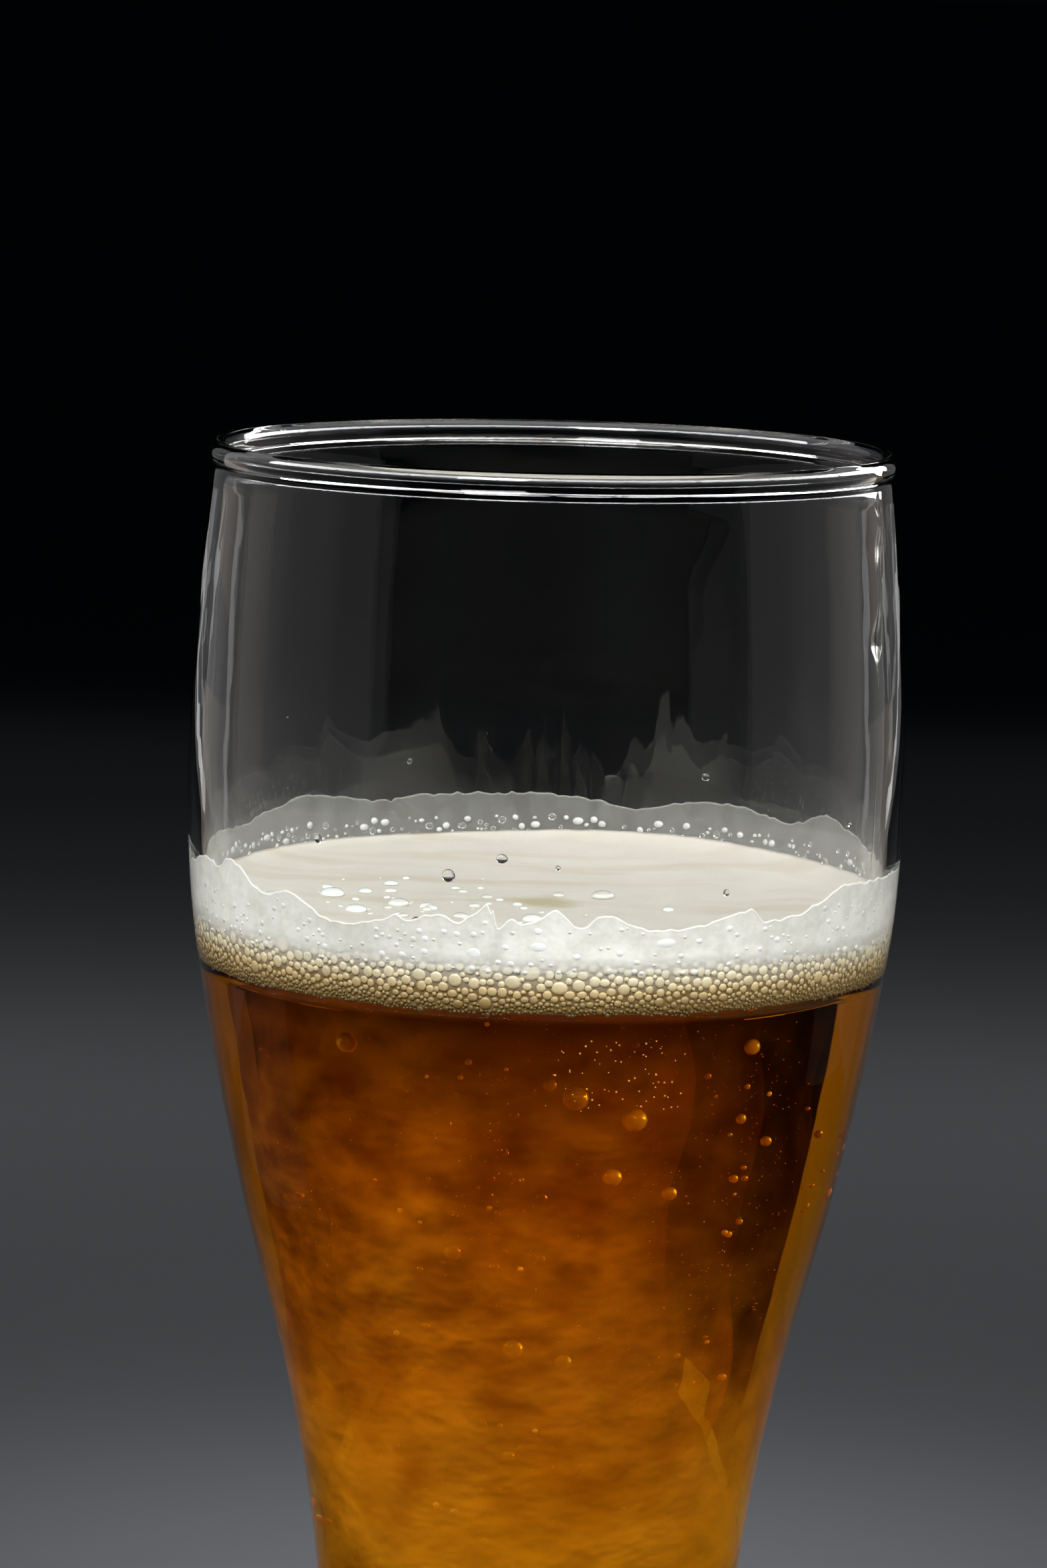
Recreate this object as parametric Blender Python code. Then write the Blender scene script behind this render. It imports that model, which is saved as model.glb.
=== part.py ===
"""A flared wheat-beer glass, filled a little over halfway with amber beer under a thin head of foam.

Three solids share the glass's axis: the glass itself, the beer in it and the foam on the beer. The origin
is at the middle of the foot's underside, +Z is up, and all lengths are in metres.
"""

import math

import bmesh
import bpy
import numpy as np

# The glass
TOTAL_HEIGHT = 0.2100
SEGMENTS = 60
# Outline of the outside as (height, radius), from the foot up to the neck under the rim
OUTSIDE = (
    (0.0000, 0.0318),
    (0.0080, 0.0312),
    (0.0320, 0.0266),
    (0.0500, 0.0237),
    (0.0660, 0.0229),
    (0.0840, 0.0241),
    (0.1040, 0.0276),
    (0.1260, 0.0333),
    (0.1440, 0.0371),
    (0.1580, 0.0393),
    (0.1730, 0.0400),
    (0.1920, 0.0393),
    (0.2090, 0.0378),
)
# Thickness of the wall as (height, thickness)
WALL = (
    (0.0360, 0.0052),
    (0.0520, 0.0034),
    (0.0800, 0.0028),
    (0.1150, 0.0023),
    (0.1500, 0.0018),
    (0.2090, 0.0014),
)
OUTSIDE_RINGS = 22
INSIDE_RINGS = 18

# The rounded bead along the rim, an upright ellipse a little proud of the wall on both sides
BEAD_HALF_WIDTH = 0.00115
BEAD_HALF_HEIGHT = 0.00130
BEAD_PROUD = 0.0005
BEAD_RINGS = 9
BEAD_START = math.radians(-45)
NECK_HEIGHT = TOTAL_HEIGHT - 0.0032

# The thick foot: a rounded lower edge, a flat ring that it stands on and a shallow hollow under the middle
FOOT_EDGE_RADIUS = 0.0025
FOOT_EDGE_RINGS = 4
PUNT_RADIUS = 0.0210
PUNT_DEPTH = 0.0018
PUNT_RINGS = 4

# The rounded floor of the inside, half an ellipse
INSIDE_FLOOR = 0.0230
INSIDE_ROUNDING_TOP = 0.0360
INSIDE_FLOOR_RINGS = 6

# The contents
CLEARANCE = 0.0003
BEER_LEVEL = 0.1525
BEER_RINGS = 13
FOAM_LEVEL = 0.1602
FOAM_DISH = 0.0010
FOAM_RIPPLE = 0.0003
# Upper edge of the foam where it climbs the wall, as (degrees round from the front, height)
COLLAR = (
    (0, 0.1630),
    (12, 0.1627),
    (20, 0.1619),
    (35, 0.1630),
    (42, 0.1621),
    (55, 0.1645),
    (78, 0.1644),
    (112, 0.1654),
    (121, 0.1661),
    (132, 0.1648),
    (145, 0.1657),
    (164, 0.1642),
    (180, 0.1656),
    (200, 0.1655),
    (212, 0.1651),
    (225, 0.1661),
    (237, 0.1653),
    (250, 0.1644),
    (279, 0.1637),
    (298, 0.1655),
    (310, 0.1630),
    (317, 0.1635),
    (327, 0.1612),
    (338, 0.1623),
    (351, 0.1640),
)
COLLAR_WIDTH = 0.0060
COLLAR_EDGE = 0.0010
FOAM_RING_SHARES = (0.16, 0.32, 0.48, 0.62, 0.74, 0.83, 0.90, 0.95)
FOAM_SIDE_RINGS = 3
FOAM_UNDERSIDE_SHARES = (0.35, 0.70)


def along(stations, height):
    """The value at a height on the smooth curve through (height, value) stations."""
    heights, values = np.array(stations).T
    slopes = np.gradient(values, heights)
    i = int(np.clip(np.searchsorted(heights, height) - 1, 0, len(heights) - 2))
    step = heights[i + 1] - heights[i]
    t = (height - heights[i]) / step
    return float(
        (2 * t**3 - 3 * t**2 + 1) * values[i]
        + (t**3 - 2 * t**2 + t) * step * slopes[i]
        + (3 * t**2 - 2 * t**3) * values[i + 1]
        + (t**3 - t**2) * step * slopes[i + 1]
    )


def outside(height):
    return along(OUTSIDE, height)


def inside(height):
    """Radius of the inside, closed below by half an ellipse."""
    if height >= INSIDE_ROUNDING_TOP:
        return outside(height) - along(WALL, height)
    full = outside(INSIDE_ROUNDING_TOP) - along(WALL, INSIDE_ROUNDING_TOP)
    down = (INSIDE_ROUNDING_TOP - height) / (INSIDE_ROUNDING_TOP - INSIDE_FLOOR)
    return full * math.sqrt(max(0.0, 1 - down**2))


def floor_heights():
    """Heights down the rounded floor, evenly spaced by angle, without its lowest point."""
    depth = INSIDE_ROUNDING_TOP - INSIDE_FLOOR
    angles = np.linspace(0, math.pi / 2, INSIDE_FLOOR_RINGS, endpoint=False)[1:]
    return [INSIDE_ROUNDING_TOP - depth * math.sin(angle) for angle in angles]


def bead_points():
    """The bead's ellipse from its outer side, over the top, to its inner side."""
    middle = outside(TOTAL_HEIGHT - BEAD_HALF_HEIGHT) + BEAD_PROUD - BEAD_HALF_WIDTH
    height = TOTAL_HEIGHT - BEAD_HALF_HEIGHT
    angles = np.linspace(BEAD_START, math.pi - BEAD_START, BEAD_RINGS)
    return [
        (middle + BEAD_HALF_WIDTH * math.cos(a), height + BEAD_HALF_HEIGHT * math.sin(a))
        for a in angles
    ]


def foot_points():
    """Rounded lower edge, flat ring and hollow underside, inwards to the axis."""
    edge = outside(FOOT_EDGE_RADIUS)
    angles = np.linspace(0, math.pi / 2, FOOT_EDGE_RINGS)
    points = [
        (
            edge - FOOT_EDGE_RADIUS * (1 - math.cos(a)),
            FOOT_EDGE_RADIUS * (1 - math.sin(a)),
        )
        for a in angles
    ]
    for share in np.linspace(1, 0, PUNT_RINGS):
        points.append((PUNT_RADIUS * share, PUNT_DEPTH * (1 - share**2)))
    return points


def glass_profile():
    """Right half of the glass's section: bead, outside, underside, then back up the inside."""
    bead = bead_points()
    outer = [(outside(h), h) for h in np.linspace(NECK_HEIGHT, FOOT_EDGE_RADIUS, OUTSIDE_RINGS)[:-1]]
    inner_heights = [INSIDE_FLOOR, *reversed(floor_heights())]
    inner_heights += list(np.linspace(INSIDE_ROUNDING_TOP, NECK_HEIGHT, INSIDE_RINGS))
    inner = [(inside(h), h) for h in inner_heights]
    return outer + foot_points() + inner + bead[::-1] + [outer[0]]


def beer_profile():
    """Right half of the beer's section: level top, side a clearance inside the wall, rounded bottom."""
    heights = list(np.linspace(BEER_LEVEL, INSIDE_ROUNDING_TOP, BEER_RINGS)) + floor_heights()
    side = [(inside(h) - CLEARANCE, h + CLEARANCE * (h < INSIDE_ROUNDING_TOP)) for h in heights]
    return [(0.0, BEER_LEVEL), *side, (0.0, INSIDE_FLOOR + CLEARANCE)]


def ripple(angle, share):
    """Soft unevenness of the foam's surface, fading out towards the middle."""
    waves = math.sin(3 * angle + 5 * share) + 0.7 * math.sin(5 * angle - 7 * share + 1.3)
    return FOAM_RIPPLE * share * waves


def collar(angle):
    """Height of the foam's edge where it climbs the wall, in uneven scallops. The front is at -Y."""
    degrees, heights = zip(*COLLAR)
    return float(np.interp(math.degrees(angle) + 90, degrees, heights, period=360))


def foam_top(angle, share):
    """Height of the foam's top surface at a share of its radius."""
    radius = inside(FOAM_LEVEL) - CLEARANCE
    level = FOAM_LEVEL - FOAM_DISH * (1 - share**2) + ripple(angle, share)
    climb = max(0.0, 1 - (1 - share) * radius / COLLAR_WIDTH)
    return level + (collar(angle) - level) * climb**3


def foam_rings():
    """The foam's rings from the middle of its top, over the collar and down the side, to the underside."""
    underside = BEER_LEVEL + CLEARANCE
    crest_inner = 1 - COLLAR_EDGE / inside(FOAM_LEVEL)
    turns = [2 * math.pi * i / SEGMENTS for i in range(SEGMENTS)]
    rings = []
    for share in (*FOAM_RING_SHARES, crest_inner):
        radius = share * (inside(FOAM_LEVEL) - CLEARANCE)
        rings.append([(radius, foam_top(a, share), a) for a in turns])
    for down in np.linspace(0, 1, FOAM_SIDE_RINGS):
        heights = [collar(a) + (underside - collar(a)) * down for a in turns]
        rings.append([(inside(h) - CLEARANCE, h, a) for h, a in zip(heights, turns)])
    edge = inside(underside) - CLEARANCE
    for share in reversed(FOAM_UNDERSIDE_SHARES):
        rings.append([(share * edge, underside, a) for a in turns])
    return rings, foam_top(0.0, 0.0), underside


def material(name, colour, roughness, transmission=0.0, ior=1.5):
    made = bpy.data.materials.new(name)
    made.use_nodes = True
    shader = made.node_tree.nodes["Principled BSDF"]
    shader.inputs["Base Color"].default_value = (*colour, 1.0)
    shader.inputs["Roughness"].default_value = roughness
    shader.inputs["Metallic"].default_value = 0.0
    shader.inputs["Transmission Weight"].default_value = transmission
    shader.inputs["IOR"].default_value = ior
    return made


def add_object(name, mesh, finish):
    mesh.materials.append(finish)
    mesh.shade_smooth()
    made = bpy.data.objects.new(name, mesh)
    bpy.context.scene.collection.objects.link(made)
    return made


def turned(name, profile, finish):
    """A section of (radius, height) points spun round the axis by a Screw modifier."""
    points = [(radius, 0.0, height) for radius, height in profile]
    mesh = bpy.data.meshes.new(name)
    mesh.from_pydata(points, [(i, i + 1) for i in range(len(points) - 1)], [])
    made = add_object(name, mesh, finish)
    screw = made.modifiers.new("turn", "SCREW")
    screw.steps = SEGMENTS
    screw.render_steps = SEGMENTS
    screw.use_merge_vertices = True
    screw.merge_threshold = 0.00001
    screw.use_smooth_shade = True
    return made


def ringed(name, rings, top, bottom, finish):
    """A closed body from rings of (radius, height, angle), closed by a fan at each end."""
    bm = bmesh.new()
    loops = [
        [bm.verts.new((r * math.cos(a), r * math.sin(a), h)) for r, h, a in ring] for ring in rings
    ]
    for upper, lower in zip(loops, loops[1:]):
        for i in range(SEGMENTS):
            j = (i + 1) % SEGMENTS
            bm.faces.new((upper[i], lower[i], lower[j], upper[j]))
    for loop, height, turn in ((loops[0], top, 1), (loops[-1], bottom, -1)):
        middle = bm.verts.new((0.0, 0.0, height))
        for i in range(SEGMENTS):
            pair = (loop[i], loop[(i + 1) % SEGMENTS])[::turn]
            bm.faces.new((middle, *pair))
    mesh = bpy.data.meshes.new(name)
    bm.to_mesh(mesh)
    bm.free()
    return add_object(name, mesh, finish)


def main():
    for old in list(bpy.data.objects):
        bpy.data.objects.remove(old)

    clear_glass = material("clear glass", (1.0, 1.0, 1.0), 0.0, transmission=1.0, ior=1.5)
    amber_beer = material("amber beer", (0.42, 0.13, 0.005), 0.0, transmission=1.0, ior=1.34)
    white_foam = material("beer foam", (0.75, 0.72, 0.63), 0.6)

    turned("glass", glass_profile(), clear_glass)
    turned("beer", beer_profile(), amber_beer)
    rings, top, bottom = foam_rings()
    ringed("foam", rings, top, bottom, white_foam)


main()
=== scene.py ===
import math

import bmesh
import bpy
import numpy as np
from mathutils import Matrix, Vector, noise


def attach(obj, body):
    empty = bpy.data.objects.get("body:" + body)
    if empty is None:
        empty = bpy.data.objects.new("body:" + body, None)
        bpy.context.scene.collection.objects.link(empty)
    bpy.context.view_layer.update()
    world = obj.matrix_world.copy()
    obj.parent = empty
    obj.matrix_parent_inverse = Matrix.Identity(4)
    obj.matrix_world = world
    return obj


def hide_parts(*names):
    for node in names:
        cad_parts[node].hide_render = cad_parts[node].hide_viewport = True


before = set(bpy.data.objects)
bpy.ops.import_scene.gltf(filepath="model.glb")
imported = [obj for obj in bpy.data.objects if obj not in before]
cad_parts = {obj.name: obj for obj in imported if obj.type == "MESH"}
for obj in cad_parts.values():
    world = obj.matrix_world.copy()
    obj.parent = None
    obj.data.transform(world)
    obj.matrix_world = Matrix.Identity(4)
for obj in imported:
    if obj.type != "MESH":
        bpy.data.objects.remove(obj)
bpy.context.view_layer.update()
scene = bpy.context.scene

# The studio. The camera stands a little above the rim and far back, at the photograph's angle, turned
# by its slight roll. A key lamp lights the glass from above the camera's left, long soft boxes stand
# beside it to draw its edges, and a row of low lamps lights a plain pale floor behind it, which fades
# into a dark room.
PHOTO_HEIGHT_PIXELS = 2349
FOCAL_PIXELS = 8990
SENSOR_MM = 36.0
CAMERA_PLACE = (-0.0025, -0.665, 0.2626)
CAMERA_PITCH = math.radians(7.76)
CAMERA_ROLL = math.radians(1.35)
FLOOR_HALF_SIDE = 60.0
FLOOR_GREY = "#D2D5DC"
FLOOR_GREY_DULL = "#C9CCD2"
FLOOR_CLOUD_M = 0.25
DARK_ROOM = "#020304"

scene.view_settings.view_transform = "Standard"
scene.view_settings.look = "None"
scene.cycles.caustics_reflective = False
scene.cycles.caustics_refractive = False
scene.cycles.transparent_max_bounces = 32
scene.cycles.max_bounces = 11
scene.cycles.transmission_bounces = 10
scene.cycles.glossy_bounces = 5
scene.cycles.diffuse_bounces = 2

camera_data = bpy.data.cameras.new("camera")
camera_data.sensor_width = SENSOR_MM
camera_data.lens = SENSOR_MM * FOCAL_PIXELS / PHOTO_HEIGHT_PIXELS
camera_data.clip_start = 0.01
camera = bpy.data.objects.new("camera", camera_data)
camera.matrix_world = (
    Matrix.Translation(CAMERA_PLACE)
    @ Matrix.Rotation(math.pi / 2 - CAMERA_PITCH, 4, "X")
    @ Matrix.Rotation(CAMERA_ROLL, 4, "Z")
)
scene.collection.objects.link(camera)
scene.camera = camera


def linear(hex_colour):
    """An sRGB hex value as linear red, green and blue, with a full alpha."""
    parts = [int(hex_colour[i : i + 2], 16) / 255 for i in (1, 3, 5)]
    return [*(p / 12.92 if p <= 0.04045 else ((p + 0.055) / 1.055) ** 2.4 for p in parts), 1.0]


def add_node(tree, kind, inputs=None, **settings):
    """Adds a node, sets its settings, and gives each input a value or the output that it is linked to."""
    node = tree.nodes.new(kind)
    for setting, value in settings.items():
        setattr(node, setting, value)
    for name, value in (inputs or {}).items():
        if isinstance(value, bpy.types.NodeSocket):
            tree.links.new(value, node.inputs[name])
        else:
            node.inputs[name].default_value = value
    return node


def new_material(name):
    """An empty node material and its tree."""
    material = bpy.data.materials.new(name)
    material.use_nodes = True
    material.node_tree.nodes.clear()
    return material, material.node_tree


def soft_box(name, place, facing, size, radiance, spread=180):
    """A rectangular soft box, as bright as its radiance seen straight on, which the camera doesn't see.
    A grid on it can narrow its light to a spread in degrees."""
    lamp = bpy.data.lights.new(name, "AREA")
    lamp.shape = "RECTANGLE"
    lamp.size, lamp.size_y = size
    lamp.energy = radiance * math.pi * size[0] * size[1]
    if spread < 180:
        half = math.radians(spread) / 2
        lamp.spread = 2 * half
        lamp.energy *= (math.tan(half) - half) / math.tan(half)
    made = bpy.data.objects.new(name, lamp)
    made.location = place
    made.rotation_euler = Vector(facing).to_track_quat("-Z", "Y").to_euler()
    made.visible_camera = False
    scene.collection.objects.link(made)
    return made


# Soft boxes beside the glass, in parts that grow brighter towards the back
SIDE_DISTANCE = 0.60
SIDE_MIDDLE_HEIGHT = 0.31
SIDE_TALL = 0.58
SIDE_NEAR_ENDS = {-1: -0.47, 1: -0.27}
SIDE_FAR_END = 1.40
SIDE_PARTS = 7
SIDE_STATIONS = (-0.4, 0.0, 0.4, 1.0)
SIDE_RADIANCES = (0.085, 0.12, 0.165, 0.185)
# Parts farther back than this show in reflections, but not through the glass
SIDE_CLEAR_TO = 0.80
for sign, near in SIDE_NEAR_ENDS.items():
    ends = np.linspace(near, SIDE_FAR_END, SIDE_PARTS + 1)
    for number, (start, end) in enumerate(zip(ends, ends[1:])):
        middle = (start + end) / 2
        part = soft_box(
            f"soft box {sign} {number}",
            (SIDE_DISTANCE * sign, middle, SIDE_MIDDLE_HEIGHT),
            (-sign, 0, 0),
            (end - start, SIDE_TALL),
            float(np.interp(middle, SIDE_STATIONS, SIDE_RADIANCES)),
        )
        part.visible_diffuse = False
        part.visible_transmission = bool(middle < SIDE_CLEAR_TO)
# Low boxes in line with them, seen only through glass, light the outermost edges of its wall.
LOW_BOX_BACK = 1.35
LOW_BOX_HEIGHT = 0.031
LOW_BOX_SIZE = (1.10, 0.06)
LOW_BOX_RADIANCE = 0.60
for sign in (-1, 1):
    low_box = soft_box(
        f"low box {sign}",
        (SIDE_DISTANCE * sign, LOW_BOX_BACK, LOW_BOX_HEIGHT),
        (-sign, 0, 0),
        LOW_BOX_SIZE,
        LOW_BOX_RADIANCE,
    )
    low_box.visible_diffuse = False
    low_box.visible_glossy = False

# Key and fill lamps: (name, place, facing, size, radiance)
KEY_LAMP = ("key lamp", (-0.20, -0.50, 0.68), (0.20, 0.50, -0.53), (0.26, 0.26), 28.0)
FILL_LAMPS = (
    ("left fill lamp", (-0.78, -0.38, 0.33), (0.78, 0.38, -0.18), (0.55, 0.40), 6.4),
    ("right fill lamp", (0.80, -0.38, 0.33), (-0.80, 0.38, -0.18), (0.60, 0.40), 9.6),
)
key = soft_box(*KEY_LAMP)
fills = [soft_box(*fill) for fill in FILL_LAMPS]
for fill in fills:
    fill.visible_glossy = False
    fill.visible_transmission = False

# Strips in an arc over the front and sides draw the bright line along the rim, and light nothing matt.
RIM_ARC = (
    (-0.63, 0.27, 0.50),
    (-0.62, -0.08, 0.62),
    (-0.47, -0.34, 0.68),
    (-0.25, -0.49, 0.72),
    (0.00, -0.54, 0.73),
    (0.25, -0.49, 0.72),
    (0.47, -0.34, 0.68),
    (0.62, -0.08, 0.62),
    (0.63, 0.27, 0.50),
    (0.41, 0.61, 0.34),
)
RIM_AIM_HEIGHT = 0.208
RIM_STRIP_HEIGHT = 0.20
RIM_STRIP_RADIANCE = 14.0
strips = []
for number, (start, end) in enumerate(zip(RIM_ARC, RIM_ARC[1:])):
    start, end = Vector(start), Vector(end)
    middle, across = (start + end) / 2, end - start
    back = (middle - Vector((0, 0, RIM_AIM_HEIGHT))).normalized()
    upward = back.cross(across).normalized()
    strip = soft_box(
        f"rim strip {number}", middle, -back, (across.length, RIM_STRIP_HEIGHT), RIM_STRIP_RADIANCE
    )
    strip.rotation_euler = Matrix((upward.cross(back), upward, back)).transposed().to_euler()
    strip.visible_diffuse = False
    strips.append(strip)

# Edge lamps behind the glass to either side, seen only through glass, light the beer's edges:
# (right, back, half-width, bottom, top, how far it turns to the front, radiance, colour)
EDGE_LAMPS = (
    (0.30, 0.28, 0.085, 0.010, 0.075, 0.28, 0.30, "#FFFFFF"),
    (0.30, 0.28, 0.085, 0.075, 0.140, 0.28, 0.12, "#FFE8D0"),
    (0.59, 0.64, 0.220, 0.140, 0.270, 0.00, 0.11, "#FFD2A8"),
)
# Reflector cards on the floor, seen only in the glass, leave a soft sheen on the beer's shoulders:
# (right, back, width, depth)
SHEEN_CARDS = ((-0.36, 0.16, 0.20, 0.26), (0.41, 0.18, 0.12, 0.16))
SHEEN_HEIGHT = 0.003
SHEEN_STEPS = (1.0, 0.75, 0.5)
SHEEN_RADIANCE = 0.05
SHEEN_COLOUR = "#FFD9C4"
for sign in (-1, 1):
    for right, behind, half, bottom, top, turn, radiance, colour in EDGE_LAMPS:
        edge_lamp = soft_box(
            f"edge lamp {sign} {top}",
            (right * sign, behind, (bottom + top) / 2),
            (-right * sign, -turn, 0),
            (2 * half, top - bottom),
            radiance,
        )
        edge_lamp.data.color = linear(colour)[:3]
        edge_lamp.visible_diffuse = False
        edge_lamp.visible_glossy = False
for right, behind, wide, long in SHEEN_CARDS:
    for step in SHEEN_STEPS:
        card = soft_box(
            f"sheen card {right} {step}",
            (right, behind, SHEEN_HEIGHT),
            (0, 0, 1),
            (wide * step, long * step),
            SHEEN_RADIANCE,
        )
        card.data.color = linear(SHEEN_COLOUR)[:3]
        card.visible_diffuse = False
        card.visible_transmission = False

# Floor lamps: (near edge, far edge, half-width, radiance)
FLOOR_LAMP_HEIGHT = 0.30
FLOOR_LAMP_SPREAD = 60
FLOOR_LAMPS = (
    (0.22, 0.31, 0.13, 4.35),
    (0.31, 0.42, 0.16, 1.18),
    (0.42, 0.55, 0.40, 0.83),
    (0.55, 0.68, 0.40, 0.92),
    (0.68, 0.81, 0.40, 1.01),
    (0.81, 0.96, 0.40, 0.43),
    (0.96, 1.15, 0.40, 0.17),
    (1.15, 1.40, 0.40, 0.09),
)
for number, (near, far, half, radiance) in enumerate(FLOOR_LAMPS):
    over = soft_box(
        f"floor lamp {number}",
        (0.0, (near + far) / 2, FLOOR_LAMP_HEIGHT),
        (0, 0, -1),
        (2 * half, far - near),
        radiance,
        FLOOR_LAMP_SPREAD,
    )
    over.visible_glossy = False
    over.visible_transmission = False

world = bpy.data.worlds.new("dark studio")
scene.world = world
world.use_nodes = True
world.node_tree.nodes["Background"].inputs["Color"].default_value = linear(DARK_ROOM)

# Matt laminate: plain pale grey with broad, barely visible clouding.
floor_finish, tree = new_material("matt pale laminate")
cloud = add_node(
    tree, "ShaderNodeTexNoise", {"Scale": 1 / FLOOR_CLOUD_M, "Detail": 3.0, "Roughness": 0.5}
)
shade = add_node(
    tree,
    "ShaderNodeMix",
    {"Factor": cloud.outputs["Fac"], 6: linear(FLOOR_GREY_DULL), 7: linear(FLOOR_GREY)},
    data_type="RGBA",
)
shader = add_node(
    tree,
    "ShaderNodeBsdfPrincipled",
    {"Base Color": shade.outputs[2], "Roughness": 0.9, "Specular IOR Level": 0.1},
)
add_node(tree, "ShaderNodeOutputMaterial", {"Surface": shader.outputs[0]})

floor_mesh = bpy.data.meshes.new("floor")
corners = [(-1, -1, 0), (1, -1, 0), (1, 1, 0), (-1, 1, 0)]
floor_mesh.from_pydata([[FLOOR_HALF_SIDE * c for c in corner] for corner in corners], [], [(0, 1, 2, 3)])
floor_mesh.materials.append(floor_finish)
floor = bpy.data.objects.new("floor", floor_mesh)
scene.collection.objects.link(floor)

# The floor is flagged off from all but the floor lamps.
flagged = bpy.data.collections.new("flagged off the lamps over the glass")
flagged.objects.link(floor)
flagged.collection_objects[0].light_linking.link_state = "EXCLUDE"
for lamp in (key, *fills, *strips):
    lamp.light_linking.receiver_collection = flagged

# The glass: a blown wheat-beer glass of clear soda-lime glass, with a fire-polished bead along its rim,
# a thin wall that thickens down to the waist, and a heavy foot with a shallow hollow under it. One mesh,
# turned from its section in finer steps than the solid.
GLASS_HEIGHT = 0.2100
TURN_STEPS = 224
OUTSIDE = (
    (0.0000, 0.0318),
    (0.0080, 0.0312),
    (0.0320, 0.0266),
    (0.0500, 0.0237),
    (0.0660, 0.0229),
    (0.0840, 0.0241),
    (0.1040, 0.0276),
    (0.1260, 0.0333),
    (0.1440, 0.0371),
    (0.1580, 0.0393),
    (0.1730, 0.0400),
    (0.1920, 0.0393),
    (0.2090, 0.0378),
)
WALL = (
    (0.0360, 0.0052),
    (0.0520, 0.0034),
    (0.0800, 0.0028),
    (0.1150, 0.0023),
    (0.1500, 0.0018),
    (0.2090, 0.0014),
)
BEAD_HALF_WIDTH = 0.00115
BEAD_HALF_HEIGHT = 0.00130
BEAD_PROUD = 0.0005
BEAD_START = math.radians(-45)
NECK_HEIGHT = GLASS_HEIGHT - 0.0032
FOOT_EDGE_RADIUS = 0.0025
PUNT_RADIUS = 0.0210
PUNT_DEPTH = 0.0018
INSIDE_FLOOR = 0.0230
INSIDE_ROUNDING_TOP = 0.0360
GLASS_IOR = 1.5
GLASS_CLEAR = "#FBFDFC"
WET_LEVEL = 0.1525
WET_GLINT = 0.12


def along(stations, marks_wanted):
    """Values at some marks on the smooth curve through (mark, value) stations."""
    marks, values = np.array(stations).T
    slopes = np.gradient(values, marks)
    i = np.clip(np.searchsorted(marks, marks_wanted) - 1, 0, len(marks) - 2)
    step = marks[i + 1] - marks[i]
    t = (marks_wanted - marks[i]) / step
    return (
        (2 * t**3 - 3 * t**2 + 1) * values[i]
        + (t**3 - 2 * t**2 + t) * step * slopes[i]
        + (3 * t**2 - 2 * t**3) * values[i + 1]
        + (t**3 - t**2) * step * slopes[i + 1]
    )


def outside(heights):
    return along(OUTSIDE, np.asarray(heights, float))


def inside(heights):
    """Radius of the inside at some heights, closed below by half an ellipse."""
    heights = np.asarray(heights, float)
    clamped = np.maximum(heights, INSIDE_ROUNDING_TOP)
    down = np.clip((clamped - heights) / (INSIDE_ROUNDING_TOP - INSIDE_FLOOR), 0, 1)
    return (along(OUTSIDE, clamped) - along(WALL, clamped)) * np.sqrt(1 - down**2)


def floor_heights(count):
    """Heights down the rounded floor of the inside, evenly spaced by angle, without its lowest point."""
    angles = np.linspace(0, math.pi / 2, count, endpoint=False)[1:]
    return INSIDE_ROUNDING_TOP - (INSIDE_ROUNDING_TOP - INSIDE_FLOOR) * np.sin(angles)


def mesh_piece(name, points, faces, finish):
    """A smooth mesh object from points and faces, riding on the one body."""
    mesh = bpy.data.meshes.new(name)
    mesh.from_pydata(np.asarray(points).tolist(), [], [list(f) for f in faces])
    mesh.materials.append(finish)
    mesh.shade_smooth()
    made = bpy.data.objects.new(name, mesh)
    scene.collection.objects.link(made)
    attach(made, "root")
    return made


def ring_piece(name, rings, finish):
    """A closed mesh through rings that all have the same number of points, in order down its outside.
    Rings of no size become poles, and a last ring equal to the first closes a tube's section."""
    rings = np.asarray(rings)
    count, steps = rings.shape[:2]
    ring, turn = np.meshgrid(np.arange(count - 1), np.arange(steps), indexing="ij")
    after = (turn + 1) % steps
    faces = np.stack(
        [ring * steps + turn, (ring + 1) * steps + turn, (ring + 1) * steps + after, ring * steps + after],
        -1,
    )
    made = mesh_piece(name, rings.reshape(-1, 3), faces.reshape(-1, 4), finish)
    bm = bmesh.new()
    bm.from_mesh(made.data)
    bmesh.ops.remove_doubles(bm, verts=bm.verts, dist=1e-8)
    bm.to_mesh(made.data)
    bm.free()
    return made


def round_ring(radii, heights, angles):
    """Points at some angles from the front, -Y, towards +X, at the radii and heights given."""
    return np.stack(np.broadcast_arrays(radii * np.sin(angles), -radii * np.cos(angles), heights), -1)


def turned(name, profile, finish):
    """A closed mesh turned round the axis from (radius, height) points, in order down its outside."""
    turns = np.arange(TURN_STEPS) * 2 * math.pi / TURN_STEPS
    return ring_piece(name, [round_ring(radius, height, turns) for radius, height in profile], finish)


def lets_lamps_through(tree, shader, tint):
    """The shader as seen, and clear but for its tint where lamp light passes through it."""
    clear = add_node(tree, "ShaderNodeBsdfTransparent", {"Color": tint})
    path = add_node(tree, "ShaderNodeLightPath")
    mixed = add_node(
        tree,
        "ShaderNodeMixShader",
        {0: path.outputs["Is Shadow Ray"], 1: shader.outputs[0], 2: clear.outputs[0]},
    )
    return mixed.outputs[0]


# Blown soda-lime glass, fire-polished: clear and glossy, with a very faint long waviness in its
# reflections. Where beer wets it, it hardly glints, because the two bend light nearly alike.
WAVE_M = 0.040


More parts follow.
